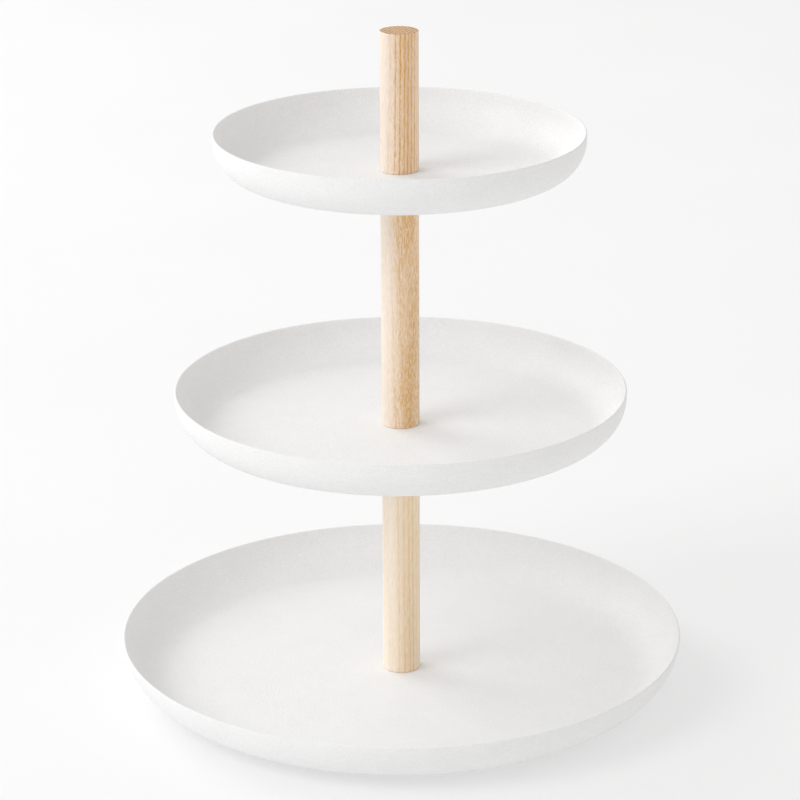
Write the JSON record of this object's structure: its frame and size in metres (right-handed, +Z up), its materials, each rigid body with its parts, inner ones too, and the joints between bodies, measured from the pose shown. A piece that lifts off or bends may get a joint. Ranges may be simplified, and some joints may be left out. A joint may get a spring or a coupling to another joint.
{
  "type": "tiered cake stand",
  "caption": "Round pressed-metal trays of decreasing size, stacked on a slim wooden post that screws together and stands proud on top as a handle.",
  "frame": {"origin": "on the surface that the stand rests on, on the axis of the post", "axes": "+Z up along the post; +X and +Y level, with the feet at 45 degrees between them; -Y is the front"},
  "size_m": [0.28, 0.28, 0.3325],
  "materials": {
    "tray_coating": "matte white powder coat with a fine grain",
    "post_wood": "pale ash, sanded, clear matte oil",
    "insert_metal": "plain turned brass",
    "fastener_steel": "zinc-plated steel",
    "foot_rubber": "soft grey rubber"
  },
  "bodies": {
    "base": {"lower_tray": "tray_coating", "lower_post": "post_wood", "lower_post_bottom_insert": "insert_metal", "lower_post_top_insert": "insert_metal", "back_right_foot": "foot_rubber", "back_left_foot": "foot_rubber", "front_left_foot": "foot_rubber", "front_right_foot": "foot_rubber"},
    "base_washer": {"base_washer": "fastener_steel"},
    "base_screw": {"base_screw": "fastener_steel"},
    "middle_tray": {"middle_tray": "tray_coating"},
    "middle_stud": {"middle_post_stud": "fastener_steel"},
    "middle_post": {"middle_post": "post_wood", "middle_post_top_insert": "insert_metal"},
    "upper_tray": {"upper_tray": "tray_coating"},
    "upper_stud": {"upper_post_stud": "fastener_steel"},
    "upper_post": {"upper_post": "post_wood"}
  },
  "joints": [
    {"name": "middle_post_lift", "type": "slide", "parent": "base", "child": "middle_stud", "axis": [0, 0, 1], "range_m": [0, 0.01]},
    {"name": "middle_post_turn", "type": "hinge", "parent": "middle_stud", "child": "middle_post", "pos_m": [0, 0, 0.1359], "axis": [0, 0, 1], "range_deg": [0, 3600]},
    {"name": "upper_post_lift", "type": "slide", "parent": "middle_post", "child": "upper_stud", "axis": [0, 0, 1], "range_m": [0, 0.01]},
    {"name": "upper_post_turn", "type": "hinge", "parent": "upper_stud", "child": "upper_post", "pos_m": [0, 0, 0.2645], "axis": [0, 0, 1], "range_deg": [0, 3600]},
    {"name": "base_screw_drop", "type": "slide", "parent": "base", "child": "base_washer", "axis": [0, 0, -1], "range_m": [0, 0.01]},
    {"name": "base_screw_turn", "type": "hinge", "parent": "base_washer", "child": "base_screw", "pos_m": [0, 0, 0.003], "axis": [0, 0, -1], "range_deg": [0, 3600]},
    {"name": "middle_tray_turn", "type": "hinge", "parent": "base", "child": "middle_tray", "pos_m": [0, 0, 0.1347], "axis": [0, 0, 1], "continuous": true},
    {"name": "upper_tray_turn", "type": "hinge", "parent": "middle_stud", "child": "upper_tray", "pos_m": [0, 0, 0.2633], "axis": [0, 0, 1], "continuous": true}
  ],
  "couplings": [
    {"joint": "middle_post_turn", "follows": "middle_post_lift", "rad_per_m": 6283.2},
    {"joint": "upper_post_turn", "follows": "upper_post_lift", "rad_per_m": 6283.2},
    {"joint": "base_screw_turn", "follows": "base_screw_drop", "rad_per_m": 6283.2}
  ]
}
